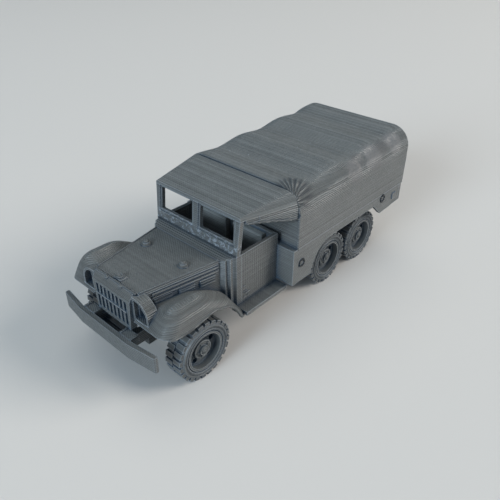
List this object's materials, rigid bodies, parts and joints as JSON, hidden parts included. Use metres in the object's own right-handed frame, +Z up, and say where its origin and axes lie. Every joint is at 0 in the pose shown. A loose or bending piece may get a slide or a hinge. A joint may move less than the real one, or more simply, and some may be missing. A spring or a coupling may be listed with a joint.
{
  "type": "six-wheeled army cargo truck scale model",
  "caption": "Small printed plastic model of an army cargo truck with a canvas tilt, an open-sided cab and wheels that turn on their axles.",
  "frame": {"origin": "ground under the middle of the model's length and width", "axes": "-Y to the front bumper, +X to the vehicle's left, +Z up; the ground is Z = 0"},
  "size_m": [0.0404, 0.0984, 0.0393],
  "materials": {
    "grey_plastic": "satin printed layers"
  },
  "bodies": {
    "body": {"chassis_frame": "grey_plastic", "front_bumper": "grey_plastic", "bumper_brackets": "grey_plastic", "front_axle": "grey_plastic", "middle_axle": "grey_plastic", "rear_axle": "grey_plastic", "front_springs": "grey_plastic", "bogie_springs": "grey_plastic", "radiator_grille": "grey_plastic", "hood": "grey_plastic", "front_fender_left": "grey_plastic", "front_fender_right": "grey_plastic", "headlamp_left": "grey_plastic", "headlamp_right": "grey_plastic", "cowl": "grey_plastic", "cab_floor": "grey_plastic", "door_left": "grey_plastic", "door_right": "grey_plastic", "running_board_left": "grey_plastic", "running_board_right": "grey_plastic", "cab_back": "grey_plastic", "seat_left": "grey_plastic", "seat_right": "grey_plastic", "windshield_frame": "grey_plastic", "cab_roof": "grey_plastic", "cargo_bed": "grey_plastic", "tailgate": "grey_plastic", "bed_sills": "grey_plastic", "cargo_tilt": "grey_plastic"},
    "wheel_front_left": {"wheel_front_left": "grey_plastic"},
    "wheel_front_right": {"wheel_front_right": "grey_plastic"},
    "wheel_middle_left": {"wheel_middle_left": "grey_plastic"},
    "wheel_middle_right": {"wheel_middle_right": "grey_plastic"},
    "wheel_rear_left": {"wheel_rear_left": "grey_plastic"},
    "wheel_rear_right": {"wheel_rear_right": "grey_plastic"}
  },
  "joints": [
    {"name": "wheel_front_left_spin", "type": "hinge", "parent": "body", "child": "wheel_front_left", "pos_m": [0.0156, -0.03435, 0.008], "axis": [1, 0, 0], "continuous": true},
    {"name": "wheel_front_right_spin", "type": "hinge", "parent": "body", "child": "wheel_front_right", "pos_m": [-0.0156, -0.03435, 0.008], "axis": [1, 0, 0], "continuous": true},
    {"name": "wheel_middle_left_spin", "type": "hinge", "parent": "body", "child": "wheel_middle_left", "pos_m": [0.0139, 0.01655, 0.008], "axis": [1, 0, 0], "continuous": true},
    {"name": "wheel_middle_right_spin", "type": "hinge", "parent": "body", "child": "wheel_middle_right", "pos_m": [-0.0139, 0.01655, 0.008], "axis": [1, 0, 0], "continuous": true},
    {"name": "wheel_rear_left_spin", "type": "hinge", "parent": "body", "child": "wheel_rear_left", "pos_m": [0.0139, 0.03345, 0.008], "axis": [1, 0, 0], "continuous": true},
    {"name": "wheel_rear_right_spin", "type": "hinge", "parent": "body", "child": "wheel_rear_right", "pos_m": [-0.0139, 0.03345, 0.008], "axis": [1, 0, 0], "continuous": true}
  ]
}
